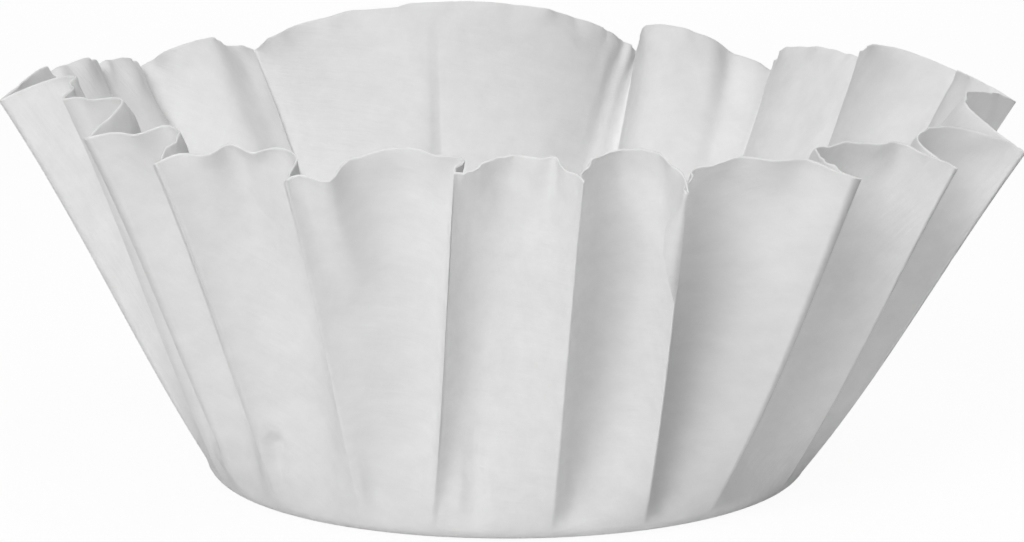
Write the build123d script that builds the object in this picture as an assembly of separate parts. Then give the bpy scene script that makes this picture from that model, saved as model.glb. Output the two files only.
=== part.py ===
from build123d import *
from collections import namedtuple
from math import cos, pi, radians, sin, sqrt, tan
import os

# Paper coffee filter, basket type.
# One round sheet of filter paper is pressed into a cup: a flat round bottom,
# a rounded heel and a wall that stands in folds, because the blank's edge is
# far longer than the cup's rim. The origin is the middle of the bottom's
# underside, +Z is up, and the side seen in front faces -Y.

# The blank
FLAT_DIAMETER = 202.0     # round sheet, laid flat
PAPER_THICKNESS = 0.2     # creped filter paper, measured loosely
BASE_DIAMETER = 82.5      # sharp edge of the bottom, before the heel is rounded
OFF_CENTRE = 3.0          # how far the bottom is pressed off the sheet's middle
LONG_SIDE = 105.0         # direction in which that leaves the tallest wall

# The heel, and how the folds grow out of it
HEEL_RADIUS = 4.0         # rounding between bottom and wall
PLAIN_LEAN = 27.0         # lean of the wall just above the heel, from upright
CREASE_LEAN = 4.0         # how much further out a crease leans than a wall with no folds
FOLD_GROWTH = (0.0, 0.72, 0.56, 1.0)   # fold depth up the wall: quick at first

# The paper is built of flat facets, as a folded sheet is, fine enough to look round.
FACETS_ACROSS = 8         # from one crease to the next
FACETS_UP = 5             # from the heel to the rim
HEEL_FACETS = 2           # round the heel

# One row for each crease that stands out, round the cup from its left side.
# base: where the crease leaves the heel, as an angle round the cup
# lean: of the crease, from upright
# swing: of the crease, round the cup, from straight out
# The rim from this crease to the next is a curve with a handle at either end,
# and the places of both handles are shares of the straight way between creases:
# leave, arrive: along that way; under 0 or over 1 the paper folds back on itself
# leave_in, arrive_in: square to it, into the cup
Fold = namedtuple("Fold", "base lean swing leave leave_in arrive arrive_in")
FOLDS = [
    Fold(187, 28, 9, 0.35, 0.60, 0.70, 0.35),
    Fold(203, 22, 6, 0.50, 0.75, 0.90, 0.25),
    Fold(212, 28, 19, 0.70, 0.80, 1.00, 0.30),
    Fold(225, 30, 18, 0.60, 0.55, 1.05, 0.35),
    Fold(244, 30, 10, 0.30, 0.20, 1.10, 0.40),
    Fold(257, 27, 20, 0.15, 0.05, 0.65, 0.50),
    Fold(278, 28, -1, -0.05, 0.75, 0.90, 0.90),
    Fold(295, 31, -18, 0.20, 0.25, 0.25, 0.35),
    Fold(309, 31, -5, -0.30, 0.55, 0.60, 0.50),
    Fold(332, 33, -24, -0.05, 0.60, 0.90, 0.30),
    Fold(345, 34, -19, 0.35, 0.45, 0.50, 0.10),
    Fold(4, 31, 2, 0.10, 0.35, 0.75, 0.35),
    Fold(19, 27, -8, 0.35, 0.35, 0.90, 0.15),
    Fold(36, 30, 8, 0.25, 0.05, 0.55, 0.35),
    Fold(56, 39, 3, 0.60, 0.50, 0.80, 0.75),
    Fold(76, 36, -4, 0.15, 0.10, 0.50, 0.25),
    Fold(103, 16, -5, 0.40, 0.05, 0.70, 0.20),
    Fold(119, 34, 7, 0.55, 0.40, 0.65, 0.40),
    Fold(136, 37, 5, 0.30, 0.30, 0.80, 0.25),
    Fold(151, 33, -7, 0.30, 0.25, 0.80, 0.20),
    Fold(168, 31, -17, 0.20, 0.10, 0.80, 0.10),
]

# Worked out from the sizes above
FLAT_RADIUS = FLAT_DIAMETER / 2
BASE_RADIUS = BASE_DIAMETER / 2
HEEL_RUN = HEEL_RADIUS * tan(radians(90 - PLAIN_LEAN) / 2)
FOOT_RADIUS = BASE_RADIUS + HEEL_RUN * sin(radians(PLAIN_LEAN))
FOOT_HEIGHT = HEEL_RUN * cos(radians(PLAIN_LEAN))
NEARBY = 0.002            # share of a panel over which its direction is measured


def ring_point(radius, angle, height=0.0):
    """A point at an angle round the cup."""
    turn = radians(angle)
    return Vector(radius * cos(turn), radius * sin(turn), height)


def weights(share):
    """How much each of a curve's four control points counts, part of the way along."""
    rest = 1 - share
    return (rest**3, 3 * rest**2 * share, 3 * rest * share**2, share**3)


def blend(values, share):
    """Part of the way along the curve of four control values."""
    first, *others = [value * part for value, part in zip(values, weights(share))]
    return sum(others, first)


def between(fold, after, across):
    """The angle at the bottom's edge, part of the way from one crease to the next."""
    return fold.base + (after.base - fold.base) * across


def wall_length(angle):
    """Paper between the bottom's edge and the blank's edge, in one direction."""
    away = radians(angle - LONG_SIDE)
    across = OFF_CENTRE * sin(away)
    return OFF_CENTRE * cos(away) + sqrt(FLAT_RADIUS**2 - across**2) - BASE_RADIUS


def tip_place(fold, lean):
    """Where a crease of some lean would end, seen from above."""
    reach = wall_length(fold.base) * sin(radians(lean))
    return ring_point(BASE_RADIUS, fold.base) + ring_point(reach, fold.base + fold.swing)


def raised(place, angle):
    """The rim over a place: the paper keeps its length from the bottom's edge."""
    run = (place - ring_point(BASE_RADIUS, angle)).length
    return place + Vector(0, 0, sqrt(wall_length(angle)**2 - run**2))


def rim_point(fold, after, across):
    """A point of the rim, part of the way from one crease to the next."""
    first = tip_place(fold, fold.lean)
    last = tip_place(after, after.lean)
    way = last - first
    into = Vector(-way.Y, way.X, 0)
    leave = first + way * fold.leave + into * fold.leave_in
    arrive = first + way * fold.arrive + into * fold.arrive_in
    return raised(blend([first, leave, arrive, last], across), between(fold, after, across))


def plain_point(fold, after, across):
    """The same point if the wall had no folds in it."""
    first = raised(tip_place(fold, fold.lean - CREASE_LEAN), fold.base)
    last = raised(tip_place(after, after.lean - CREASE_LEAN), after.base)
    return first + (last - first) * across


def wall_point(fold, after, across, up):
    """A point of the wall's outer face, part of the way from heel to rim."""
    foot = ring_point(FOOT_RADIUS, between(fold, after, across), FOOT_HEIGHT)
    plain = plain_point(fold, after, across)
    folded = rim_point(fold, after, across) - plain
    return foot + (plain - foot) * up + folded * blend(FOLD_GROWTH, up)


def inward(fold, after, across, up):
    """The direction square to the wall, into the cup."""
    rising = wall_point(fold, after, across, up + NEARBY) - wall_point(fold, after, across, up - NEARBY)
    running = wall_point(fold, after, across + NEARBY, up) - wall_point(fold, after, across - NEARBY, up)
    return rising.cross(running).normalized()


def mitre(first, second):
    """The move that keeps the paper's thickness on both sides of a crease."""
    return (first + second) * (PAPER_THICKNESS / (1 + first.dot(second)))


def folds_in_turn():
    """Each crease with the one before it and the one after it."""
    for index, fold in enumerate(FOLDS):
        before = FOLDS[index - 1]
        after = FOLDS[(index + 1) % len(FOLDS)]
        if after.base < fold.base:
            after = after._replace(base=after.base + 360)
        if before.base > fold.base:
            before = before._replace(base=before.base - 360)
        yield before, fold, after


def heel_column(angle):
    """Points round the heel, from the bottom to the wall, each on both skins."""
    column = []
    for step in range(HEEL_FACETS + 1):
        turn = radians(90 - PLAIN_LEAN) * step / HEEL_FACETS
        skins = []
        for radius in (HEEL_RADIUS, HEEL_RADIUS - PAPER_THICKNESS):
            out = BASE_RADIUS - HEEL_RUN + radius * sin(turn)
            skins.append(ring_point(out, angle, HEEL_RADIUS - radius * cos(turn)))
        column.append(skins)
    return column


def wall_column(before, fold, after, across):
    """Points from just above the heel up to the rim, each on both skins."""
    column = []
    for step in range(1, FACETS_UP + 1):
        up = step / FACETS_UP
        square = inward(fold, after, across, up)
        other = square if across else inward(before, fold, 1, up)
        point = wall_point(fold, after, across, up)
        column.append([point, point + mitre(square, other)])
    return column


def sheet_columns():
    """Columns of points all round the cup, each from the bottom to the rim."""
    columns = []
    for before, fold, after in folds_in_turn():
        for step in range(FACETS_ACROSS):
            across = step / FACETS_ACROSS
            heel = heel_column(between(fold, after, across))
            columns.append(heel + wall_column(before, fold, after, across))
    return columns


def flat_face(*corners):
    """A flat face between its corners."""
    return Face(Wire.make_polygon(corners))


def two_facets(low_left, low_right, high_right, high_left):
    """A pair of facets between four corners, folded along the shorter diagonal."""
    if (high_right - low_left).length < (high_left - low_right).length:
        return [flat_face(low_left, low_right, high_right), flat_face(low_left, high_right, high_left)]
    return [flat_face(low_left, low_right, high_left), flat_face(low_right, high_right, high_left)]


def skin_strip(left, right, skin):
    """One skin of the sheet between two columns, from the bottom to the rim."""
    strip = []
    for row in range(len(left) - 1):
        low, high = row, row + 1
        strip += two_facets(left[low][skin], right[low][skin], right[high][skin], left[high][skin])
    return strip


def filter_paper():
    """The folded sheet: outer skin, inner skin, cut rim and flat bottom."""
    columns = sheet_columns()
    faces = []
    for left, right in zip(columns, columns[1:] + columns[:1]):
        for skin in (0, 1):
            faces += skin_strip(left, right, skin)
        faces += two_facets(left[-1][0], right[-1][0], right[-1][1], left[-1][1])
    for skin in (0, 1):
        faces.append(flat_face(*[column[0][skin] for column in columns]))
    return Solid(Shell(faces))


os.makedirs("parts", exist_ok=True)
sheet = filter_paper()
export_step(sheet, "parts/filter_paper.step")

flat_volume = pi * FLAT_RADIUS**2 * PAPER_THICKNESS
print(f"folded sheet {sheet.volume:.0f} mm3, the same sheet laid flat {flat_volume:.0f} mm3")
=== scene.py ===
from collections import namedtuple
from functools import cache
from math import atan2, cos, degrees, hypot, pi, radians, sin, sqrt, tan

import bmesh
import bpy
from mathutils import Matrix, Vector, noise


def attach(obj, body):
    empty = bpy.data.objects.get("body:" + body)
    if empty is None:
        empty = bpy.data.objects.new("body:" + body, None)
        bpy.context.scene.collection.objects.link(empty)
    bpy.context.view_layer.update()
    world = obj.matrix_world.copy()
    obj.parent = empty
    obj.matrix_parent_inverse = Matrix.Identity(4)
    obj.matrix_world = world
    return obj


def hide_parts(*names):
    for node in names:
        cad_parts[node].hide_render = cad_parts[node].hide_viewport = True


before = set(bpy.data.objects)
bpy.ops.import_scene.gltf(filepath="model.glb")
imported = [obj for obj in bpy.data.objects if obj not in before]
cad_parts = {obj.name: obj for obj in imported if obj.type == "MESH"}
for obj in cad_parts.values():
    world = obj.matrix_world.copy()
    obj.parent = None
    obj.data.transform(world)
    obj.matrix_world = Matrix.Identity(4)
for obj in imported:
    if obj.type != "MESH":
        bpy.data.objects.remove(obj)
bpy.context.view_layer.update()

# The filter: one round sheet of uncoated, finely creped filter paper.
# It is cut flat, then pressed over a round former, so its bottom stays flat,
# the heel is rounded and the wall, too long for the rim, stands in folds.
MM = 0.001
FLAT_RADIUS = 101.0       # of the sheet laid flat
BASE_RADIUS = 41.25       # of the bottom's sharp edge, before the heel is rounded
PAPER_THICKNESS = 0.2
OFF_CENTRE = 3.0          # the former presses this far off the sheet's middle
LONG_SIDE = 105.0         # towards this side the wall is tallest
HEEL_RADIUS = 3.0         # rounding between bottom and wall
PLAIN_LEAN = 27.0         # lean of the wall just above the heel, from upright
CREASE_LEAN = 4.0         # a crease leans this much further out than a plain wall
FOLD_GROWTH = (0.0, 0.72, 0.56, 1.0)   # fold depth up the wall
DISH_GROWTH = (0.0, 1.1, 1.2, 0.1)     # depth of a panel's dish up the wall
DISH_RISE = 0.45          # a dish drops steeply beside its first crease
DISH_FALL = 2.3           # and runs out gently towards the next one
DISH_SHARE = 3.4          # makes it as deep at its deepest as its row says
HEEL_RUN = HEEL_RADIUS * tan(radians(90 - PLAIN_LEAN) / 2)
FOOT_RADIUS = BASE_RADIUS + HEEL_RUN * sin(radians(PLAIN_LEAN))
FOOT_HEIGHT = HEEL_RUN * cos(radians(PLAIN_LEAN))
FLOOR_RINGS = (0.0, 13.0, 26.0, 34.0)   # radii of the rings on the flat bottom
HEEL_RINGS = 6
WALL_RINGS = 50
RIM_RING = 0.25           # a last ring this close to the cut edge keeps that edge crisp
SPOKES = 720
CROWDING = 0.35           # how much closer the spokes stand beside a crease
SAME_PLACE = 0.0005       # points closer than this are one

# One row a crease: where it leaves the heel, its lean from upright and its swing
# round the cup, in degrees, then the two handles of the rim up to the next one,
# as shares of the straight way there, along it and into the cup. Then how deep the
# panel is dished half-way up, as a share of that way, and the crease's bow out of
# the cup half-way up, in mm.
Fold = namedtuple("Fold", "base lean swing leave leave_in arrive arrive_in dish bow")
FOLDS = [
    Fold(187, 28, 9, 0.35, 0.60, 0.70, 0.35, 0.05, -0.65),
    Fold(203, 22, 6, 0.50, 0.75, 0.90, 0.25, 0.10, -0.50),
    Fold(212, 28, 19, 0.70, 0.80, 1.00, 0.30, 0.08, -0.50),
    Fold(225, 30, 18, 0.60, 0.55, 1.05, 0.35, 0.10, -0.50),
    Fold(244, 30, 10, 0.30, 0.20, 1.10, 0.40, 0.00, -0.50),
    Fold(257, 27, 20, 0.15, 0.05, 0.65, 0.50, 0.30, -0.50),
    Fold(278, 28, -1, -0.05, 0.75, 0.90, 0.90, 0.50, -0.40),
    Fold(295, 31, -18, 0.20, 0.25, 0.25, 0.35, 0.50, 0.50),
    Fold(309, 31, -5, -0.30, 0.55, 0.60, 0.50, 0.50, 0.90),
    Fold(332, 33, -24, -0.05, 0.60, 0.90, 0.30, 0.40, 0.10),
    Fold(345, 34, -19, 0.35, 0.45, 0.50, 0.10, 0.14, 0.00),
    Fold(364, 31, 2, 0.10, 0.35, 0.75, 0.35, 0.05, -0.40),
    Fold(379, 27, -8, 0.35, 0.35, 0.90, 0.15, 0.10, -0.50),
    Fold(396, 30, 8, 0.25, 0.05, 0.55, 0.35, 0.10, -0.50),
    Fold(416, 39, 3, 0.60, 0.50, 0.80, 0.75, 0.00, -0.50),
    Fold(436, 36, -4, 0.15, 0.10, 0.50, 0.25, -0.06, -0.50),
    Fold(463, 16, -5, 0.40, 0.05, 0.70, 0.20, 0.10, -0.50),
    Fold(479, 34, 7, 0.55, 0.40, 0.65, 0.40, 0.10, -0.50),
    Fold(496, 37, 5, 0.30, 0.30, 0.80, 0.25, 0.10, -0.50),
    Fold(511, 33, -7, 0.30, 0.25, 0.80, 0.20, 0.10, -0.50),
    Fold(528, 31, -17, 0.20, 0.10, 0.80, 0.10, 0.05, -0.70),
]
FOLDS.append(FOLDS[0]._replace(base=FOLDS[0].base + 360))


def ring_point(radius, angle, height=0.0):
    """A point at an angle round the cup."""
    turn = radians(angle)
    return Vector((radius * cos(turn), radius * sin(turn), height))


def blend(values, share):
    """Part of the way along the curve of four control values."""
    rest = 1 - share
    first, second, third, last = values
    return first * rest**3 + (second * rest + third * share) * (3 * rest * share) + last * share**3


def wall_length(angle):
    """Paper between the bottom's edge and the blank's edge, in one direction."""
    away = radians(angle - LONG_SIDE)
    across = OFF_CENTRE * sin(away)
    return OFF_CENTRE * cos(away) + sqrt(FLAT_RADIUS**2 - across**2) - BASE_RADIUS


def tip_place(fold, lean):
    """Where a crease of some lean would end, seen from above."""
    reach = wall_length(fold.base) * sin(radians(lean))
    return ring_point(BASE_RADIUS, fold.base) + ring_point(reach, fold.base + fold.swing)


def raised(place, angle):
    """The rim over a place: the paper keeps its length from the bottom's edge."""
    run = (place - ring_point(BASE_RADIUS, angle)).length
    return place + Vector((0, 0, sqrt(wall_length(angle)**2 - run**2)))


def panel_at(angle):
    """The creases on both sides of an angle, and the share of the way between them."""
    turned = (angle - FOLDS[0].base) % 360 + FOLDS[0].base
    fold, after = next(pair for pair in zip(FOLDS, FOLDS[1:]) if turned < pair[1].base)
    share = (turned - fold.base) / (after.base - fold.base)
    return fold, after, turned, share - CROWDING * sin(2 * pi * share) / (2 * pi)


@cache
def spoke_ends(angle):
    """Where the wall starts, ends folded, would end unfolded, its dish and bow, at one angle."""
    fold, after, turned, across = panel_at(angle)
    first = tip_place(fold, fold.lean)
    last = tip_place(after, after.lean)
    way = last - first
    into = Vector((-way.y, way.x, 0))
    leave = first + way * fold.leave + into * fold.leave_in
    arrive = first + way * fold.arrive + into * fold.arrive_in
    rim = raised(blend((first, leave, arrive, last), across), turned)
    plain = raised(tip_place(fold, fold.lean - CREASE_LEAN), fold.base)
    plain = plain.lerp(raised(tip_place(after, after.lean - CREASE_LEAN), after.base), across)
    foot = ring_point(FOOT_RADIUS, turned, FOOT_HEIGHT)
    dish = into * (fold.dish * DISH_SHARE * max(across, 0.0)**DISH_RISE * (1 - across)**DISH_FALL)
    bow = fold.bow + (after.bow - fold.bow) * across
    return foot, rim, plain, dish, ring_point(bow, turned)


def folded(angle, up):
    """Where a point of the blank's outer part stands once the sheet is folded."""
    foot, rim, plain, dish, bow = spoke_ends(round(angle, 4))
    if up >= 0:
        wall = foot + (plain - foot) * up + (rim - plain) * blend(FOLD_GROWTH, up)
        return wall + dish * blend(DISH_GROWTH, up) + bow * (4 * up * (1 - up))
    turn = up + 1
    heel = ring_point(BASE_RADIUS - HEEL_RUN, angle) * (1 - turn)**2
    heel += ring_point(BASE_RADIUS, angle) * (2 * turn * (1 - turn))
    return heel + foot * turn**2


# Marks the sheet took beside its folds. Each is a line between two places on the
# flat sheet, a place being an angle and a share of the way up the wall. Its width
# and depth are in mm, out of the cup; it is deepest at its end and fades to its start.
Mark = namedtuple("Mark", "start_angle start_up end_angle end_up width depth")
MARKS = [
    Mark(205.5, 0.70, 204.8, 1.00, 3.5, 1.5),     # waves of the rim, round from the left
    Mark(215.0, 0.80, 214.8, 1.00, 3.0, 1.2),
    Mark(229.0, 0.75, 228.4, 1.00, 3.5, 1.0),
    Mark(234.0, 0.70, 232.8, 1.00, 4.5, 1.7),
    Mark(248.5, 0.62, 247.0, 1.00, 2.8, 3.2),
    Mark(251.0, 0.75, 250.7, 1.00, 3.5, -1.4),
    Mark(254.4, 0.80, 254.4, 1.00, 2.5, -1.2),
    Mark(266.5, 0.75, 267.0, 1.00, 4.5, -0.9),
    Mark(272.0, 0.80, 271.8, 1.00, 3.0, -0.9),
    Mark(290.0, 0.80, 290.0, 1.00, 3.0, -0.7),
    Mark(307.0, 0.80, 306.8, 1.00, 3.0, -0.8),
    Mark(326.0, 0.80, 326.0, 1.00, 3.0, -0.7),
    Mark(303.5, 0.60, 307.0, 0.95, 5.0, -0.8),    # crease across the widest front panel
    Mark(211.0, 0.55, 206.5, 0.08, 1.8, 0.7),     # second line beside a crease
    Mark(247.0, 0.32, 247.5, 0.05, 2.5, -0.9),    # dents where creases meet the heel
    Mark(263.5, 0.32, 264.5, 0.04, 2.6, -1.3),
    Mark(226.4, 0.03, 227.0, 0.20, 1.7, -1.5),    # nick beside a crease
    Mark(214.0, 0.08, 207.5, 0.07, 6.0, 0.9),     # low swell on the left
    Mark(280.5, 0.32, 281.5, 0.05, 2.5, -0.9),
    Mark(297.5, 0.32, 298.5, 0.05, 2.5, -0.9),
    Mark(57.5, 0.40, 59.5, 1.00, 4.0, 1.6),       # soft creases of the far wall
    Mark(84.5, 0.30, 82.5, 1.00, 4.0, 0.6),
    Mark(102.8, 0.30, 102.8, 1.00, 1.8, 0.2),
    Mark(125.5, 0.20, 123.0, 1.00, 7.0, 1.2),
]
# Random relief of the sheet, in mm: from one swell to the next, how deep, and the
# power of the height up the wall that it fades with.
SOFT_SIZE, SOFT_DEPTH = 10.0, 0.35                # soft swells of the whole wall
RIM_SIZE, RIM_DEPTH, RIM_FADE = 4.5, 1.1, 16      # waves below the cut edge
CUT_SIZE, CUT_DEPTH, CUT_FADE = 1.9, 0.6, 40      # crumple of the edge itself
FLARE = 0.25              # how far the cut edge turns out
FREE_ACROSS = 8           # the relief is whole one part in 8 of a panel from its creases
FREE_UP = 10              # and one part in 10 of the way up the wall


def on_sheet(angle, up):
    """A place of the wall on the flat sheet."""
    return ring_point(heel_edge + (FLAT_RADIUS - heel_edge) * up, angle)


def mark_height(mark, place):
    """How far a mark moves one place of the flat sheet out of the cup."""
    start = on_sheet(mark.start_angle, mark.start_up)
    way = on_sheet(mark.end_angle, mark.end_up) - start
    share = max(0.0, min(1.0, (place - start).dot(way) / way.length_squared))
    off = (place - start - way * share).length / mark.width
    return mark.depth * share * max(0.0, 1 - off**2)**2


def swell(place, size, seed):
    """A smooth random height from -1 to 1, at one place of the flat sheet."""
    return noise.noise(place / size + Vector((0, 0, seed)))


def relief(place, angle, up):
    """How far one place of the sheet lies off its smooth fold. The creases stay put."""
    across = panel_at(angle)[-1]
    free = min(1.0, FREE_ACROSS * across, FREE_ACROSS * (1 - across), FREE_UP * up)
    height = SOFT_DEPTH * swell(place, SOFT_SIZE, 3.1)
    height += RIM_DEPTH * swell(place, RIM_SIZE, 7.7) * up**RIM_FADE
    height += (FLARE + CUT_DEPTH * swell(place, CUT_SIZE, 5.4)) * up**CUT_FADE
    return free * (height + sum(mark_height(mark, place) for mark in MARKS))


floor_edge = BASE_RADIUS - HEEL_RUN
heel_edge = BASE_RADIUS + HEEL_RUN
ring_radii = list(FLOOR_RINGS)
for step in range(HEEL_RINGS):
    ring_radii.append(floor_edge + (heel_edge - floor_edge) * step / HEEL_RINGS)
for step in range(WALL_RINGS + 1):
    ring_radii.append(heel_edge + (FLAT_RADIUS - heel_edge) * step / WALL_RINGS)
ring_radii.insert(-1, FLAT_RADIUS - RIM_RING)

# One spoke of points is spun into the flat sheet, which keeps its own flat map.
paper = bmesh.new()
spoke = [paper.verts.new((radius, 0, 0)) for radius in ring_radii]
edges = [paper.edges.new(pair) for pair in zip(spoke, spoke[1:])]
bmesh.ops.spin(paper, geom=spoke + edges, cent=(0, 0, 0), axis=(0, 0, 1), dvec=(0, 0, 0),
               angle=2 * pi, steps=SPOKES, use_merge=True, use_duplicate=False)
bmesh.ops.remove_doubles(paper, verts=paper.verts[:], dist=SAME_PLACE)

flat_uv = paper.loops.layers.uv.new("flat_sheet")
for face in paper.faces:
    for loop in face.loops:
        place = loop.vert.co / (2 * FLAT_RADIUS)
        loop[flat_uv].uv = (place.x + 0.5, place.y + 0.5)
    face.smooth = True

# Each point goes to its place in the fold, then out by the relief, square to the paper.
lifts = {}
for vert in paper.verts:
    radius = hypot(vert.co.x, vert.co.y)
    angle = degrees(atan2(vert.co.y, vert.co.x))
    if radius > heel_edge:
        up = (radius - heel_edge) / (FLAT_RADIUS - heel_edge)
        lifts[vert] = relief(vert.co.copy(), angle, up)
        vert.co = folded(angle, up)
    elif radius > floor_edge:
        vert.co = folded(angle, (radius - heel_edge) / (heel_edge - floor_edge))
bmesh.ops.recalc_face_normals(paper, faces=paper.faces[:])
lowest = min(paper.faces, key=lambda face: face.calc_center_median().length)
if lowest.normal.z > 0:
    bmesh.ops.reverse_faces(paper, faces=paper.faces[:])
paper.normal_update()
for vert, lift in lifts.items():
    vert.co += vert.normal * lift
bmesh.ops.scale(paper, vec=(MM, MM, MM), verts=paper.verts[:])

mesh = bpy.data.meshes.new("filter_sheet")
paper.to_mesh(mesh)
paper.free()
filter_sheet = bpy.data.objects.new("filter_sheet", mesh)
bpy.context.collection.objects.link(filter_sheet)
walling = filter_sheet.modifiers.new("paper_thickness", "SOLIDIFY")
walling.thickness = PAPER_THICKNESS * MM
walling.offset = -1


def linear(hex_colour):
    """A colour written as sRGB hex, as Blender counts it."""
    parts = [int(hex_colour[place:place + 2], 16) / 255 for place in (1, 3, 5)]
    return [part / 12.92 if part <= 0.04045 else ((part + 0.055) / 1.055)**2.4 for part in parts] + [1.0]


def add_node(tree, kind, links=(), **settings):
    """A node with its settings, and links from other nodes' outputs to its inputs."""
    node = tree.nodes.new(kind)
    for name, value in settings.items():
        if hasattr(node, name):
            setattr(node, name, value)
        else:
            node.inputs[name.replace("_", " ")].default_value = value
    for output, socket in links:
        tree.links.new(output, node.inputs[socket])
    return node


# Uncoated bleached filter paper, wet laid and lightly creped: quite matt, with a
# faint cloud of uneven fibre and fine crepe lines that run one way across it.
# The real lines are about 0.5 mm apart, and are drawn coarser so that they show.
THIN_PAPER = "#E5E5E5"    # where the fibre lies thinner
THICK_PAPER = "#EBEBEB"
CLOUDS_PER_MM = 0.3
CREPE_PER_MM = 0.9
CREPE_RUN = (0.15, 1.0, 1.0)   # the lines are drawn out along the sheet's first direction
RELIEF_HEIGHT = 0.0002    # of cloud and crepe, in metres
creped_paper = bpy.data.materials.new("creped_filter_paper")
creped_paper.use_nodes = True
tree = creped_paper.node_tree
shader = tree.nodes["Principled BSDF"]
shader.inputs["Roughness"].default_value = 0.95
shader.inputs["Specular IOR Level"].default_value = 0.2
flat_place = add_node(tree, "ShaderNodeUVMap", uv_map="flat_sheet")
in_mm = add_node(tree, "ShaderNodeMapping", [(flat_place.outputs["UV"], "Vector")],
                 Scale=[2 * FLAT_RADIUS] * 3)
cloud = add_node(tree, "ShaderNodeTexNoise", [(in_mm.outputs[0], "Vector")],
                 Scale=CLOUDS_PER_MM, Detail=4.0, Roughness=0.6)
lines = add_node(tree, "ShaderNodeMapping", [(in_mm.outputs[0], "Vector")], Scale=CREPE_RUN)
crepe = add_node(tree, "ShaderNodeTexNoise", [(lines.outputs[0], "Vector")],
                 Scale=CREPE_PER_MM, Detail=3.0, Roughness=0.6)
tint = add_node(tree, "ShaderNodeValToRGB", [(cloud.outputs[0], "Fac")])
tint.color_ramp.elements[0].position = 0.3
tint.color_ramp.elements[0].color = linear(THIN_PAPER)
tint.color_ramp.elements[1].position = 0.7
tint.color_ramp.elements[1].color = linear(THICK_PAPER)
tree.links.new(tint.outputs[0], shader.inputs["Base Color"])
height = add_node(tree, "ShaderNodeMath", [(cloud.outputs[0], 0), (crepe.outputs[0], 1)],
                  operation="ADD")
bump = add_node(tree, "ShaderNodeBump", [(height.outputs[0], "Height")],
                Strength=0.4, Distance=RELIEF_HEIGHT)
tree.links.new(bump.outputs[0], shader.inputs["Normal"])
filter_sheet.data.materials.append(creped_paper)

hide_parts("filter_paper")
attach(filter_sheet, "root")

# The table: a plain white surface that the filter stands on.
# It isn't part of the object. The eye sees it nearly pure white, and the small
# share that is left to the light keeps the object's shadow.
TABLE_HALF_SIDE = 4.0     # metres
TABLE_DROP = 0.0002       # keeps the two surfaces apart
GLOW_SHARE = 0.95
table_mesh = bmesh.new()
bmesh.ops.create_grid(table_mesh, x_segments=1, y_segments=1, size=TABLE_HALF_SIDE)
mesh = bpy.data.meshes.new("table")
table_mesh.to_mesh(mesh)
table_mesh.free()
table = bpy.data.objects.new("table", mesh)
table.location.z = -TABLE_DROP
bpy.context.collection.objects.link(table)


def seen_directly(tree):
    """1 where the eye looks, also by way of metal or glass, and 0 for the light that falls."""
    path = add_node(tree, "ShaderNodeLightPath")
    plain = add_node(tree, "ShaderNodeMath",
                     [(path.outputs["Is Camera Ray"], 0), (path.outputs["Is Glossy Ray"], 1)],
                     operation="MAXIMUM")
    return add_node(tree, "ShaderNodeMath",
                    [(plain.outputs[0], 0), (path.outputs["Is Transmission Ray"], 1)],
                    operation="MAXIMUM")


table_white = bpy.data.materials.new("table_white")
table_white.use_nodes = True
tree = table_white.node_tree
tree.nodes.clear()
share = add_node(tree, "ShaderNodeMath", [(seen_directly(tree).outputs[0], 0)], operation="MULTIPLY")
share.inputs[1].default_value = GLOW_SHARE
matt = add_node(tree, "ShaderNodeBsdfDiffuse", Color=linear("#FAFAFA"))
glow = add_node(tree, "ShaderNodeEmission", Color=(1, 1, 1, 1), Strength=1.0)
mixed = add_node(tree, "ShaderNodeMixShader",
                 [(share.outputs[0], 0), (matt.outputs[0], 1), (glow.outputs[0], 2)])
add_node(tree, "ShaderNodeOutputMaterial", [(mixed.outputs[0], "Surface")])
table.data.materials.append(table_white)

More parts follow.
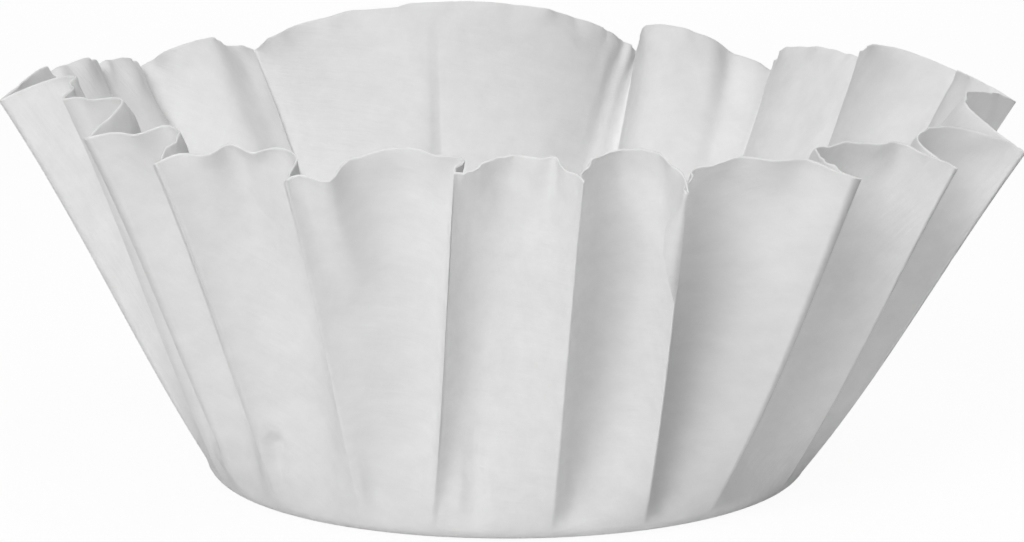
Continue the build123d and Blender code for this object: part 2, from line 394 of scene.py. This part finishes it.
# The light: a big soft lamp in front on the left, weaker ones on the right and
# above, two behind for the back of the wall, and a faint even room.
LAMP_DISTANCE = 1.2       # metres
ROOM_STRENGTH = 0.03
world = bpy.data.worlds.new("white_room")
bpy.context.scene.world = world
world.use_nodes = True
tree = world.node_tree
tree.nodes.clear()
room = add_node(tree, "ShaderNodeBackground", Color=(1, 1, 1, 1), Strength=ROOM_STRENGTH)
white = add_node(tree, "ShaderNodeBackground", Color=(1, 1, 1, 1), Strength=1.0)
mixed = add_node(tree, "ShaderNodeMixShader",
                 [(seen_directly(tree).outputs[0], 0), (room.outputs[0], 1), (white.outputs[0], 2)])
add_node(tree, "ShaderNodeOutputWorld", [(mixed.outputs[0], "Surface")])


def add_lamp(name, side, height, watts, size):
    """A round soft lamp that looks at the filter, from an angle round it and above it."""
    lamp = bpy.data.lights.new(name, "AREA")
    lamp.shape = "DISK"
    lamp.size = size
    lamp.energy = watts
    holder = bpy.data.objects.new(name, lamp)
    out = LAMP_DISTANCE * cos(radians(height))
    holder.location = ring_point(out, side, LAMP_DISTANCE * sin(radians(height)))
    holder.rotation_euler = holder.location.to_track_quat("Z", "Y").to_euler()
    bpy.context.collection.objects.link(holder)


add_lamp("window_light", side=249, height=35, watts=8.2, size=0.6)
add_lamp("fill_light", side=325, height=50, watts=1.7, size=0.6)
add_lamp("top_light", side=300, height=75, watts=3.6, size=0.7)
add_lamp("back_light", side=95, height=40, watts=2.4, size=0.7)
add_lamp("rear_light", side=90, height=8, watts=2.8, size=0.7)

# The camera, at the photograph's viewing angle: 0.4 m in front of the filter's
# middle, about 0.1 m up, and tipped down.
CAMERA_DOWN = 10.133      # degrees
eye_data = bpy.data.cameras.new("camera")
eye_data.lens = 102.2
eye_data.sensor_width = 36.0
eye_data.clip_start = 0.01
camera = bpy.data.objects.new("camera", eye_data)
camera.location = (0.00064, -0.400, 0.09915)
camera.rotation_euler = (radians(90 - CAMERA_DOWN), 0, 0)
bpy.context.collection.objects.link(camera)
bpy.context.scene.camera = camera
bpy.context.scene.view_settings.view_transform = "Standard"
